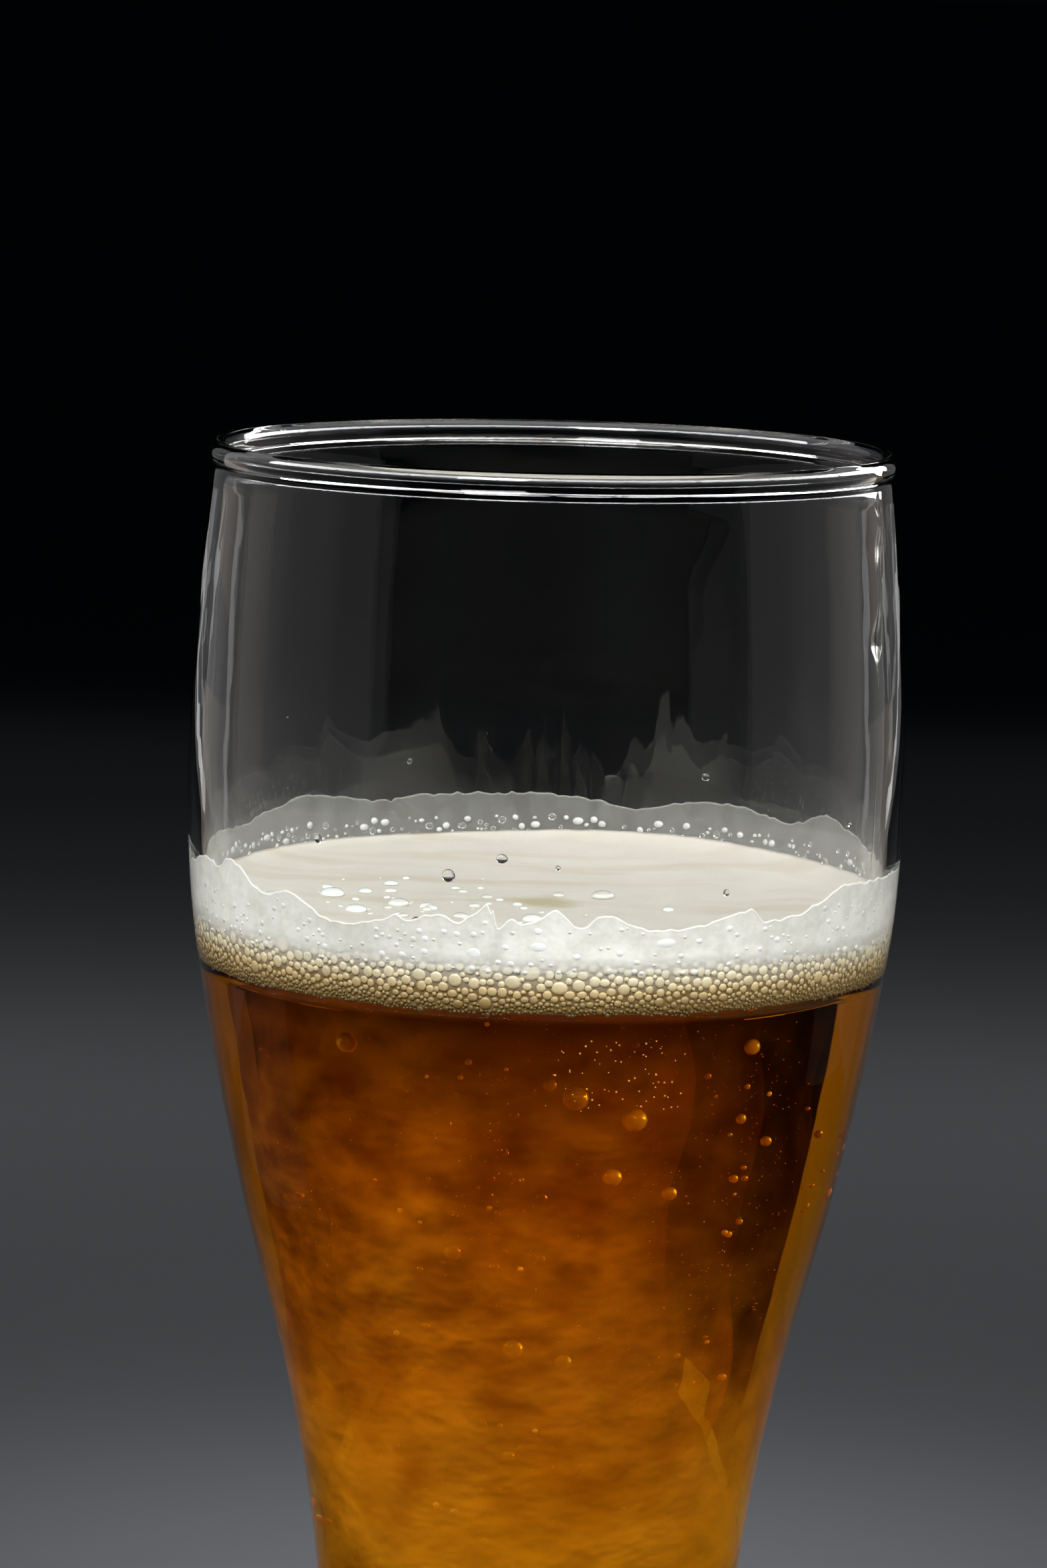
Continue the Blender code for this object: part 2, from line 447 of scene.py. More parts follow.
def soda_lime(name, glint):
    """The glass, with the share of its plain reflection that it keeps."""
    material, tree = new_material(name)
    wave = add_node(tree, "ShaderNodeTexNoise", {"Scale": 1 / WAVE_M, "Detail": 1.0})
    bump = add_node(
        tree, "ShaderNodeBump", {"Height": wave.outputs["Fac"], "Strength": 0.03, "Distance": 0.0004}
    )
    shader = add_node(
        tree,
        "ShaderNodeBsdfPrincipled",
        {
            "Base Color": linear("#FFFFFF"),
            "Roughness": 0.0,
            "IOR": GLASS_IOR,
            "Specular Tint": (glint, glint, glint, 1.0),
            "Transmission Weight": 1.0,
            "Normal": bump.outputs[0],
        },
    )
    add_node(
        tree, "ShaderNodeOutputMaterial", {"Surface": lets_lamps_through(tree, shader, linear(GLASS_CLEAR))}
    )
    return material


clear_glass = soda_lime("blown soda-lime glass", 1.0)
wet_glass = soda_lime("blown soda-lime glass wetted by beer", WET_GLINT)

bead_middle = float(outside(GLASS_HEIGHT - BEAD_HALF_HEIGHT)) + BEAD_PROUD - BEAD_HALF_WIDTH
bead = [
    (
        bead_middle + BEAD_HALF_WIDTH * math.cos(a),
        GLASS_HEIGHT - BEAD_HALF_HEIGHT + BEAD_HALF_HEIGHT * math.sin(a),
    )
    for a in np.linspace(BEAD_START, math.pi - BEAD_START, 33)
]
outer = [(outside(h), h) for h in np.linspace(NECK_HEIGHT, FOOT_EDGE_RADIUS, 110)[:-1]]
foot_edge = float(outside(FOOT_EDGE_RADIUS))
foot = [
    (foot_edge - FOOT_EDGE_RADIUS * (1 - math.cos(a)), FOOT_EDGE_RADIUS * (1 - math.sin(a)))
    for a in np.linspace(0, math.pi / 2, 10)
]
punt = [(PUNT_RADIUS * s, PUNT_DEPTH * (1 - s**2)) for s in np.linspace(1, 0, 14)]
inner_heights = [INSIDE_FLOOR, *floor_heights(24)[::-1], *np.linspace(INSIDE_ROUNDING_TOP, NECK_HEIGHT, 90)]
inner = [(inside(h), h) for h in inner_heights]
glass = turned("beer_glass", outer + foot + punt + inner + bead[::-1] + [outer[0]], clear_glass)
glass.data.materials.append(wet_glass)
for face in glass.data.polygons:
    middle = face.center
    on_inside = math.hypot(middle.x, middle.y) < float(inside(middle.z)) + 0.0003
    face.material_index = int(on_inside and INSIDE_FLOOR - 0.0005 < middle.z < WET_LEVEL)
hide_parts("glass")

# The beer: a clear amber wheat beer, filling the glass up to the foam. It reaches just into the wall and
# into the foam, so that no gap of air shows.
BEER_LEVEL = WET_LEVEL
INTO_WALL = 0.00008
INTO_FOAM = 0.0002
BEER_IOR = 1.34
# Light lost on each metre of beer, by colour: little red, some green and all of the blue
BEER_DEPTH = 150.0
BEER_AMBER = "#FAE900"

amber_beer, tree = new_material("amber wheat beer")
wave = add_node(tree, "ShaderNodeTexNoise", {"Scale": 1 / WAVE_M, "Detail": 1.0})
bump = add_node(
    tree, "ShaderNodeBump", {"Height": wave.outputs["Fac"], "Strength": 0.02, "Distance": 0.0004}
)
shader = add_node(
    tree,
    "ShaderNodeBsdfPrincipled",
    {
        "Base Color": linear("#FFFFFF"),
        "Roughness": 0.0,
        "IOR": BEER_IOR,
        "Specular Tint": (WET_GLINT, WET_GLINT, WET_GLINT, 1.0),
        "Transmission Weight": 1.0,
        "Normal": bump.outputs[0],
    },
)
depth = add_node(tree, "ShaderNodeVolumeAbsorption", {"Color": linear(BEER_AMBER), "Density": BEER_DEPTH})
add_node(
    tree,
    "ShaderNodeOutputMaterial",
    {"Surface": lets_lamps_through(tree, shader, linear("#FFFFFF")), "Volume": depth.outputs[0]},
)

side_heights = [*np.linspace(BEER_LEVEL + INTO_FOAM, INSIDE_ROUNDING_TOP, 80), *floor_heights(24)]
side = [(inside(h) + INTO_WALL, h - INTO_WALL * (h < INSIDE_ROUNDING_TOP)) for h in side_heights]
beer = turned(
    "beer_fill",
    [(0.0, BEER_LEVEL + INTO_FOAM), *side, (0.0, INSIDE_FLOOR - INTO_WALL)],
    amber_beer,
)
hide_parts("beer")

# The haze in the beer: yeast and bubbles too small to see one by one, which glow where light falls on
# them and hide the far side. Four loose veils, one inside the other, stand for its depth. They fill the
# narrow lower part. They thin out to the right and towards the foam as painted shade, and their colour
# is painted a lighter gold lower down and on the crests of their clumps as painted light.
HAZE_SHARES = (0.74, 0.64, 0.50, 0.33)
HAZE_COVERS = (0.42, 0.52, 0.64, 0.85)
HAZE_TOP = BEER_LEVEL - 0.0008
HAZE_WIDE_BELOW = 0.085
HAZE_WIDER = 1.28
HAZE_GOLD = "#D28224"
HAZE_TAN = "#68380A"
# Painted glow: a brighter gold laid on the haze between these two heights, towards the bottom
HAZE_PAINTED_GLOW = "#D28C0C"
HAZE_PAINTED_GLOW_TOP = 0.112
HAZE_PAINTED_GLOW_BOTTOM = 0.074
HAZE_CLOUD_M = 0.016
HAZE_CLUMP_M = (0.0052, 0.0052, 0.0034)
HAZE_CLUMP_DEPTH = 0.0012
HAZE_STEPS = 96
HAZE_BULGE = 0.030
# Painted light: the haze's tint is lifted towards gold below this band, by this share
HAZE_PAINTED_LIGHT_TOP = 0.128
HAZE_PAINTED_LIGHT_BOTTOM = 0.100
HAZE_PAINTED_LIGHT_SHARE = 0.22
HAZE_TONE_RANGE = (0.25, 0.75)
HAZE_CLOUD_RANGE = (0.34, 0.66)
HAZE_CLOUD_COVERS = (0.25, 1.5)
# Painted shade: the haze thins out to the right between these places, and towards the foam from this height
HAZE_SHADE_RIGHT = (-0.004, 0.019)
HAZE_SHADE_RIGHT_COVER = 0.17
HAZE_SHADE_FOAM_FROM = 0.118
HAZE_SHADE_FOAM_COVER = 0.45

for number, (share, cover) in enumerate(zip(HAZE_SHARES, HAZE_COVERS), 1):
    # Yeast haze: matt gold and tan, in soft clumps that are bright above and dark below, with painted
    # light and shade in its colour: gold on the clumps' crests and lower down, tan in their hollows higher
    # up
    haze, tree = new_material(f"yeast haze {number}")
    place = add_node(tree, "ShaderNodeNewGeometry")
    clouds = add_node(
        tree,
        "ShaderNodeTexNoise",
        {
            "Vector": place.outputs["Position"],
            "Scale": 1 / HAZE_CLOUD_M,
            "Detail": 2.0,
            "Roughness": 0.62,
        },
    )
    flattened = add_node(
        tree,
        "ShaderNodeMapping",
        {"Vector": place.outputs["Position"], "Scale": [1 / size for size in HAZE_CLUMP_M]},
    )
    clumps = add_node(
        tree,
        "ShaderNodeTexNoise",
        {"Vector": flattened.outputs[0], "Scale": 1.0, "Detail": 2.0, "Roughness": 0.5},
    )
    bump = add_node(
        tree,
        "ShaderNodeBump",
        {"Height": clumps.outputs["Fac"], "Strength": 0.8, "Distance": HAZE_CLUMP_DEPTH},
    )
    where = add_node(tree, "ShaderNodeSeparateXYZ", {0: place.outputs["Position"]})
    # Painted light: the haze is painted lighter lower down
    painted_light_below = add_node(
        tree,
        "ShaderNodeMapRange",
        {"Value": where.outputs["Z"], "From Min": HAZE_PAINTED_LIGHT_TOP, "From Max": HAZE_PAINTED_LIGHT_BOTTOM},
    )
    # Painted light and shade: the tint runs from tan in the clumps' hollows to gold on their crests
    lit = add_node(
        tree,
        "ShaderNodeMath",
        {0: painted_light_below.outputs[0], 1: HAZE_PAINTED_LIGHT_SHARE, 2: clumps.outputs["Fac"]},
        operation="MULTIPLY_ADD",
    )
    tone = add_node(
        tree,
        "ShaderNodeMapRange",
        {"Value": lit.outputs[0], "From Min": HAZE_TONE_RANGE[0], "From Max": HAZE_TONE_RANGE[1]},
    )
    tint = add_node(
        tree,
        "ShaderNodeMix",
        {"Factor": tone.outputs[0], 6: linear(HAZE_TAN), 7: linear(HAZE_GOLD)},
        data_type="RGBA",
    )
    # Painted glow: brighter gold towards the bottom
    low = add_node(
        tree,
        "ShaderNodeMapRange",
        {"Value": where.outputs["Z"], "From Min": HAZE_PAINTED_GLOW_TOP, "From Max": HAZE_PAINTED_GLOW_BOTTOM},
    )
    tint = add_node(
        tree,
        "ShaderNodeMix",
        {"Factor": low.outputs[0], 6: tint.outputs[2], 7: linear(HAZE_PAINTED_GLOW)},
        data_type="RGBA",
    )
    thick = add_node(
        tree,
        "ShaderNodeMapRange",
        {
            "Value": clouds.outputs["Fac"],
            "From Min": HAZE_CLOUD_RANGE[0],
            "From Max": HAZE_CLOUD_RANGE[1],
            "To Min": HAZE_CLOUD_COVERS[0] * cover,
            "To Max": min(1.0, HAZE_CLOUD_COVERS[1] * cover),
        },
    )
    # Painted shade: the haze thins out to the right and towards the foam, but not in its lowest part
    painted_shade_right = add_node(
        tree,
        "ShaderNodeMapRange",
        {
            "Value": where.outputs["X"],
            "From Min": HAZE_SHADE_RIGHT[0],
            "From Max": HAZE_SHADE_RIGHT[1],
            "To Min": 1.0,
            "To Max": HAZE_SHADE_RIGHT_COVER,
        },
    )
    painted_shade_foam = add_node(
        tree,
        "ShaderNodeMapRange",
        {
            "Value": where.outputs["Z"],
            "From Min": BEER_LEVEL,
            "From Max": HAZE_SHADE_FOAM_FROM,
            "To Min": HAZE_SHADE_FOAM_COVER,
            "To Max": 1.0,
        },
    )
    evened = add_node(
        tree, "ShaderNodeMath", {0: painted_shade_right.outputs[0], 1: painted_light_below.outputs[0]}, operation="MAXIMUM"
    )
    shaded_cover = add_node(
        tree, "ShaderNodeMath", {0: thick.outputs[0], 1: evened.outputs[0]}, operation="MULTIPLY"
    )
    shown = add_node(
        tree, "ShaderNodeMath", {0: shaded_cover.outputs[0], 1: painted_shade_foam.outputs[0]}, operation="MULTIPLY"
    )
    shader = add_node(
        tree,
        "ShaderNodeBsdfPrincipled",
        {"Base Color": tint.outputs[2], "Roughness": 1.0, "IOR": 1.0, "Normal": bump.outputs[0]},
    )
    clear = add_node(tree, "ShaderNodeBsdfTransparent")
    veil = add_node(
        tree, "ShaderNodeMixShader", {0: shown.outputs[0], 1: clear.outputs[0], 2: shader.outputs[0]}
    )
    add_node(tree, "ShaderNodeOutputMaterial", {"Surface": veil.outputs[0]})
    heights = np.array([*np.linspace(HAZE_TOP, INSIDE_ROUNDING_TOP, 60), *floor_heights(10)])
    wider = np.interp(heights, (HAZE_WIDE_BELOW, HAZE_TOP), (HAZE_WIDER, 1.0))
    radii = share * wider * inside(heights)
    turns = np.arange(HAZE_STEPS) * 2 * math.pi / HAZE_STEPS
    rings = [round_ring(0.0, HAZE_TOP, turns)]
    for radius, height in zip(radii, heights):
        billow = np.sin(3 * turns + 170 * height + number) + np.sin(5 * turns - 240 * height + 2 * number)
        rings.append(round_ring(radius * (1 + HAZE_BULGE / share * billow / 2), height, turns))
    rings.append(round_ring(0.0, INSIDE_FLOOR + 0.0015 * number, turns))
    made = ring_piece(f"beer_haze_{number}", rings, haze)

# The bubbles in the beer: round, from fizz of a tenth of a millimetre up to a few of two millimetres,
# thickest in rolling clouds in the middle and lower half, with a small flight of fizz near the glass.
FIZZ_TRIES = 16000
FIZZ_LIMIT = 4200
FIZZ_RADII = (0.00005, 0.00012)
FLIGHT_COUNT = 70
FLIGHT_RADII = (0.00007, 0.00014)
FLIGHT_DEGREES = (1, 26)
FLIGHT_HEIGHTS = (0.1415, 0.1495)
BUBBLE_TRIES = 4000
BUBBLE_LIMIT = 420
BUBBLE_RADII = (0.00022, 0.00065)
BUBBLES_WITHIN = 0.86
FIZZ_AMBER = "#A65A20"
FIZZ_GOLD = "#F0AE58"
GAS_AMBER = "#A8602A"
GAS_GOLD = "#E8A050"
GAS_IN_BEER_IOR = 0.76
SPECK = ((0, 1), (0.87, 0.45), (0.87, -0.45), (0, -1))
BALL = ((0, 1), (0.5, 0.87), (0.87, 0.5), (1, 0), (0.87, -0.5), (0.5, -0.87), (0, -1))
# Large bubbles: (right, back, height, radius) in millimetres
LARGE_BUBBLES = (
    (-19.0, -20.0, 147.0, 1.2),
    (3.5, -22.0, 142.0, 1.35),
    (1.0, -21.0, 143.4, 0.7),
    (9.3, -21.0, 139.6, 1.3),
    (20.5, -17.0, 147.2, 0.9),
    (7.2, -19.0, 133.0, 1.0),
    (12.5, -15.0, 130.8, 0.8),
    (-8.0, -18.0, 124.0, 0.9),
    (-2.0, -20.0, 113.5, 1.1),
    (3.0, -19.0, 112.0, 0.9),
    (-5.0, -16.0, 104.0, 0.8),
)


def blobs(name, middles, axes, outline, finish, steps, tones):
    """Many small closed round bodies as one mesh. Each has its middle, and two side half-widths and a
    height as vectors. The outline has (radius, height) from top to bottom. Each body keeps one tone."""
    turns = np.arange(steps) * 2 * math.pi / steps
    count, rings = len(middles), len(outline) - 2
    per = 2 + rings * steps
    points = np.empty((count, per, 3))
    points[:, 0] = middles + outline[0][1] * axes[:, 2]
    points[:, -1] = middles + outline[-1][1] * axes[:, 2]
    for r, (radius, height) in enumerate(outline[1:-1]):
        across = np.cos(turns)[None, :, None] * axes[:, None, 0]
        along_side = np.sin(turns)[None, :, None] * axes[:, None, 1]
        ring = radius * (across + along_side)
        points[:, 1 + r * steps : 1 + (r + 1) * steps] = (middles + height * axes[:, 2])[:, None] + ring
    faces = []
    for s in range(steps):
        t = (s + 1) % steps
        faces.append((0, 1 + s, 1 + t))
        faces.append((per - 1, per - 1 - steps + t, per - 1 - steps + s))
        for r in range(rings - 1):
            upper, lower = 1 + r * steps, 1 + (r + 1) * steps
            faces.append((upper + s, lower + s, lower + t))
            faces.append((upper + s, lower + t, upper + t))
    all_faces = (np.array(faces)[None] + (np.arange(count) * per)[:, None, None]).reshape(-1, 3)
    made = mesh_piece(name, points.reshape(-1, 3), all_faces, finish)
    attribute = made.data.attributes.new("tone", "FLOAT", "POINT")
    attribute.data.foreach_set("value", np.repeat(np.asarray(tones, float), per))
    return made


def spheres(radii, flat=1.0):
    """Axes of round bodies of some radii, flattened or not."""
    return np.diag([1.0, 1.0, flat])[None] * np.asarray(radii)[:, None, None]


def in_clouds(rng, tries, limit, cloud_m, bar):
    """Places in the beer, kept where a slow noise is over its bar, which is lower in the lower middle."""
    heights = 0.040 + (BEER_LEVEL - 0.0415) * rng.random(tries) ** 0.8
    angles = rng.random(tries) * 2 * math.pi
    shares = BUBBLES_WITHIN * np.sqrt(rng.random(tries))
    places = round_ring(shares * inside(heights), heights, angles)
    kept = []
    for place, share in zip(places, shares):
        low = (BEER_LEVEL - place[2]) / BEER_LEVEL
        if noise.noise(Vector(place) / cloud_m) + 0.55 * low - 0.25 * share > bar:
            kept.append(place)
        if len(kept) == limit:
            break
    return np.array(kept)


# Fizz: bubbles so small that they read as matt bright specks
fizz, tree = new_material("fizz in beer")
tone = add_node(tree, "ShaderNodeAttribute", attribute_name="tone")
tint = add_node(
    tree,
    "ShaderNodeMix",
    {"Factor": tone.outputs["Fac"], 6: linear(FIZZ_AMBER), 7: linear(FIZZ_GOLD)},
    data_type="RGBA",
)
shader = add_node(
    tree, "ShaderNodeBsdfPrincipled", {"Base Color": tint.outputs[2], "Roughness": 0.35, "IOR": 1.34}
)
add_node(tree, "ShaderNodeOutputMaterial", {"Surface": shader.outputs[0]})
rng = np.random.default_rng(31)
places = in_clouds(rng, FIZZ_TRIES, FIZZ_LIMIT, 0.009, 0.0)
radii = FIZZ_RADII[0] + (FIZZ_RADII[1] - FIZZ_RADII[0]) * rng.random(len(places)) ** 2
tones = 0.6 * rng.random(len(places))
flight_angles = np.radians(rng.uniform(*FLIGHT_DEGREES, FLIGHT_COUNT))
flight_heights = rng.uniform(*FLIGHT_HEIGHTS, FLIGHT_COUNT)
flight_radii = inside(flight_heights) - rng.uniform(0.0004, 0.003, FLIGHT_COUNT)
flight = round_ring(flight_radii, flight_heights, flight_angles)
places = np.concatenate([places, flight])
radii = np.concatenate([radii, rng.uniform(*FLIGHT_RADII, FLIGHT_COUNT)])
tones = np.concatenate([tones, rng.uniform(0.6, 1.0, FLIGHT_COUNT)])
made = blobs("beer_fizz", places, spheres(radii), SPECK, fizz, 5, tones)

# Gas in beer: round bubbles that bend light the other way, with amber skins
gas, tree = new_material("gas bubbles in beer")
tone = add_node(tree, "ShaderNodeAttribute", attribute_name="tone")
tint = add_node(
    tree,
    "ShaderNodeMix",
    {"Factor": tone.outputs["Fac"], 6: linear(GAS_AMBER), 7: linear(GAS_GOLD)},
    data_type="RGBA",
)
shader = add_node(
    tree,
    "ShaderNodeBsdfPrincipled",
    {
        "Base Color": tint.outputs[2],
        "Roughness": 0.22,
        "IOR": GAS_IN_BEER_IOR,
        "Transmission Weight": 0.3,
    },
)
add_node(
    tree, "ShaderNodeOutputMaterial", {"Surface": lets_lamps_through(tree, shader, linear("#FFFFFF"))}
)
rng = np.random.default_rng(12)
places = in_clouds(rng, BUBBLE_TRIES, BUBBLE_LIMIT, 0.015, 0.18)
radii = BUBBLE_RADII[0] + (BUBBLE_RADII[1] - BUBBLE_RADII[0]) * rng.random(len(places)) ** 3
named = np.array(LARGE_BUBBLES) / 1000
places = np.concatenate([places, named[:, :3]])
radii = np.concatenate([radii, named[:, 3]])
made = blobs("beer_bubbles", places, spheres(radii), BALL, gas, 12, rng.random(len(places)))

# The head of foam: a thin layer of fine white froth on the beer, dished in the middle, with soft ripples
# on top. Its side reaches just into the wall, behind the bubbles that press against the glass.
FOAM_LEVEL = 0.1602
FOAM_DISH = 0.0010
FOAM_RIPPLE = 0.00022
FOAM_WAVE = 0.0085
FROTH_INTO_WALL = 0.00002
MENISCUS_RISE = 0.0009
MENISCUS_WIDTH = 0.0030
FOAM_STEPS = 300
FROTH_CREAM = "#EEE8DD"
FROTH_SHADE = "#DAD2C4"
# Dark brown low on the head: drained beer, and painted shade in the gaps between the cells
FROTH_LOW_AND_GAP_SHADE = "#7A6238"
FROTH_STREAK = "#D6CAB8"
FROTH_TAN = "#BCAE84"
FROTH_BUBBLE_M = 0.00045
FROTH_DRAINED_AND_SHADED = (BEER_LEVEL + 0.0022, BEER_LEVEL + 0.0062)
FROTH_PATCH_M = 0.008
FROTH_STREAK_M = (0.030, 0.006, 0.030)
FROTH_STREAK_RANGE = (0.50, 0.66)
FROTH_STREAK_COVER = 0.8
# The tan patch: its middle, how ragged it is, and the distances at which it starts and is full
TAN_AT = (0.0005, -0.0035, FOAM_LEVEL - 0.001)
TAN_RAGGED = 0.012
TAN_RANGE = (0.0115, 0.0075)
TAN_COVER = 0.85


def foam_height(angle, share):
    """Height of the top of the foam, without its edge along the wall, at a share of its radius."""
    broad = np.sin(3 * angle + 5 * share) + 0.7 * np.sin(5 * angle - 7 * share + 1.3)
    rings = np.sin(2 * math.pi * share * float(inside(FOAM_LEVEL)) / FOAM_WAVE + 1.1 * np.sin(2 * angle))
    level = FOAM_LEVEL - FOAM_DISH * (1 - share**2) + FOAM_RIPPLE * share * (broad + 0.6 * rings)
    climb = np.clip(1 - (1 - share) * float(inside(FOAM_LEVEL)) / MENISCUS_WIDTH, 0, 1)
    return level + MENISCUS_RISE * climb**2


# Fine froth: matt and cream white, tanned in a faint patch on top, and full of bubbles under half a
# millimetre across that only just show. Low down by the beer it is dark brown, partly where the beer
# drains into it and partly as painted shade in the gaps between the bubbles on the glass.
froth, tree = new_material("fine beer froth")
place = add_node(tree, "ShaderNodeNewGeometry")
height = add_node(tree, "ShaderNodeSeparateXYZ", {0: place.outputs["Position"]})
drained_and_gap_shade = add_node(
    tree,
    "ShaderNodeMapRange",
    {"Value": height.outputs["Z"], "From Min": FROTH_DRAINED_AND_SHADED[0], "From Max": FROTH_DRAINED_AND_SHADED[1]},
)
cells = add_node(
    tree,
    "ShaderNodeTexVoronoi",
    {"Vector": place.outputs["Position"], "Scale": 1 / FROTH_BUBBLE_M, "Randomness": 1.0},
)
patches = add_node(
    tree,
    "ShaderNodeTexNoise",
    {"Vector": place.outputs["Position"], "Scale": 1 / FROTH_PATCH_M, "Detail": 3.0, "Roughness": 0.55},
)
tint = add_node(
    tree,
    "ShaderNodeMix",
    {"Factor": patches.outputs["Fac"], 6: linear(FROTH_SHADE), 7: linear(FROTH_CREAM)},
    data_type="RGBA",
)
stretched = add_node(
    tree,
    "ShaderNodeMapping",
    {"Vector": place.outputs["Position"], "Scale": [1 / size for size in FROTH_STREAK_M]},
)
streaks = add_node(
    tree,
    "ShaderNodeTexNoise",
    {"Vector": stretched.outputs[0], "Scale": 1.0, "Detail": 2.0, "Roughness": 0.5},
)
streak_share = add_node(
    tree,
    "ShaderNodeMapRange",
    {
        "Value": streaks.outputs["Fac"],
        "From Min": FROTH_STREAK_RANGE[0],
        "From Max": FROTH_STREAK_RANGE[1],
        "To Max": FROTH_STREAK_COVER,
    },
)
streaked = add_node(
    tree,
    "ShaderNodeMix",
    {"Factor": streak_share.outputs[0], 6: tint.outputs[2], 7: linear(FROTH_STREAK)},
    data_type="RGBA",
)
from_tan = add_node(
    tree, "ShaderNodeVectorMath", {0: place.outputs["Position"], 1: TAN_AT}, operation="DISTANCE"
)
ragged = add_node(
    tree,
    "ShaderNodeMath",
    {0: patches.outputs["Fac"], 1: TAN_RAGGED, 2: from_tan.outputs["Value"]},
    operation="MULTIPLY_ADD",
)
tanned = add_node(
    tree,
    "ShaderNodeMapRange",
    {
        "Value": ragged.outputs[0],
        "From Min": TAN_RANGE[0],
        "From Max": TAN_RANGE[1],
        "To Max": TAN_COVER,
    },
)
top_tint = add_node(
    tree,
    "ShaderNodeMix",
    {"Factor": tanned.outputs[0], 6: streaked.outputs[2], 7: linear(FROTH_TAN)},
    data_type="RGBA",
)
# Dark brown low down: drained beer, and painted shade in the gaps between the cells
by_height = add_node(
    tree,
    "ShaderNodeMix",
    {"Factor": drained_and_gap_shade.outputs[0], 6: linear(FROTH_LOW_AND_GAP_SHADE), 7: top_tint.outputs[2]},
    data_type="RGBA",
)
bump = add_node(
    tree,
    "ShaderNodeBump",
    {"Height": cells.outputs["Distance"], "Strength": 0.3, "Distance": 0.00010},
    invert=True,
)
shader = add_node(
    tree,
    "ShaderNodeBsdfPrincipled",
    {"Base Color": by_height.outputs[2], "Roughness": 0.55, "IOR": 1.34, "Normal": bump.outputs[0]},
)
add_node(tree, "ShaderNodeOutputMaterial", {"Surface": shader.outputs[0]})

turns = np.arange(FOAM_STEPS) * 2 * math.pi / FOAM_STEPS
shares = np.linspace(0.0, 1.0, 90)
top_radius = float(inside(FOAM_LEVEL)) + FROTH_INTO_WALL
rings = [round_ring(share * top_radius, foam_height(turns, share), turns) for share in shares]
rings[0][:] = rings[0].mean(axis=0)
edge = rings[-1][:, 2]
for down in np.linspace(0, 1, 24)[1:]:
    levels = edge + (BEER_LEVEL - edge) * down
    rings.append(round_ring(inside(levels) + FROTH_INTO_WALL, levels, turns))
for share in np.linspace(1, 0, 12)[1:]:
    rings.append(round_ring(share * (float(inside(BEER_LEVEL)) + FROTH_INTO_WALL), BEER_LEVEL, turns))
head = ring_piece("foam_head", rings, froth)
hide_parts("foam")

# The bubbles of the foam that press against the glass: fine along the beer, where they hang in a ragged
# line, up to a millimetre and a half across above it, and fewer towards the top.
CELL_TRIES = 60000
CELL_LIMIT = 9500
CELL_SIDES = 9
FINE_CELL_RADIUS = 0.00029
FINE_CELL_SIDES = 7
CELL_MARKS_MM = (0.0, 0.6, 1.3, 2.2, 3.4, 4.6, 5.6, 7.5)
CELL_RADII_MM = (0.16, 0.19, 0.25, 0.34, 0.39, 0.39, 0.33, 0.25)
CELL_SPREAD = 0.18
LARGE_CELL_SHARE = 0.009
LARGE_CELL_SCALE = 1.7
CELL_CLOSENESS = 0.86
CELL_RAGGED = 0.00028
CELL_INTO_WALL = 0.00022
CELL_HEIGHT_SHARE = 0.28
CELL_LEAST_HEIGHT = 0.00023
CELLS_TOP = BEER_LEVEL + 0.0068
DOME = ((0, 1), (0.58, 0.9), (0.88, 0.55), (1, 0), (0, -0.15))
FINE_DOME = ((0, 1), (0.75, 0.7), (1, 0), (0, -0.15))


def on_wall(angles, heights):
    """Points on the inside of the wall, with its level and rising tangents and its outward normal."""
    angles = np.asarray(angles, float)
    heights = np.asarray(heights, float)
    slope = (inside(heights + 1e-5) - inside(heights - 1e-5)) / 2e-5
    out = round_ring(1.0, 0.0, angles)
    up = np.array([0.0, 0.0, 1.0])
    length = np.sqrt(1 + slope**2)[:, None]
    level = np.cross(up, out)
    rising = (up + slope[:, None] * out) / length
    normal = (out - slope[:, None] * up) / length
    return round_ring(inside(heights), heights, angles), level, rising, normal


def packed(angles, heights, radii, closeness, limit):
    """Indexes of the circles kept when the largest are laid on the wall first and none crowd another."""
    order = np.argsort(-radii, kind="stable")
    around = angles * float(inside(FOAM_LEVEL))
    whole = 2 * math.pi * float(inside(FOAM_LEVEL))
    kept = np.empty(limit, int)
    count = 0
    for i in order:
        held = kept[:count]
        across = np.abs(around[held] - around[i])
        across = np.minimum(across, whole - across)
        gap = (closeness * (radii[held] + radii[i])) ** 2
        if not np.any(across**2 + (heights[held] - heights[i]) ** 2 < gap):
            kept[count] = i
            count += 1
            if count == limit:
                break
    return kept[:count]


# Froth cells: wet skins round gas, softly glossy, tan with beer at the bottom and paler upwards; the dark
# brown at the bottom is partly beer and partly painted shade where less light comes down through the foam
froth_cells, tree = new_material("froth cells on the glass")
place = add_node(tree, "ShaderNodeNewGeometry")
height = add_node(tree, "ShaderNodeSeparateXYZ", {0: place.outputs["Position"]})
rise = add_node(
    tree,
    "ShaderNodeMapRange",
    {"Value": height.outputs["Z"], "From Min": BEER_LEVEL - 0.0003, "From Max": BEER_LEVEL + 0.0068},
)
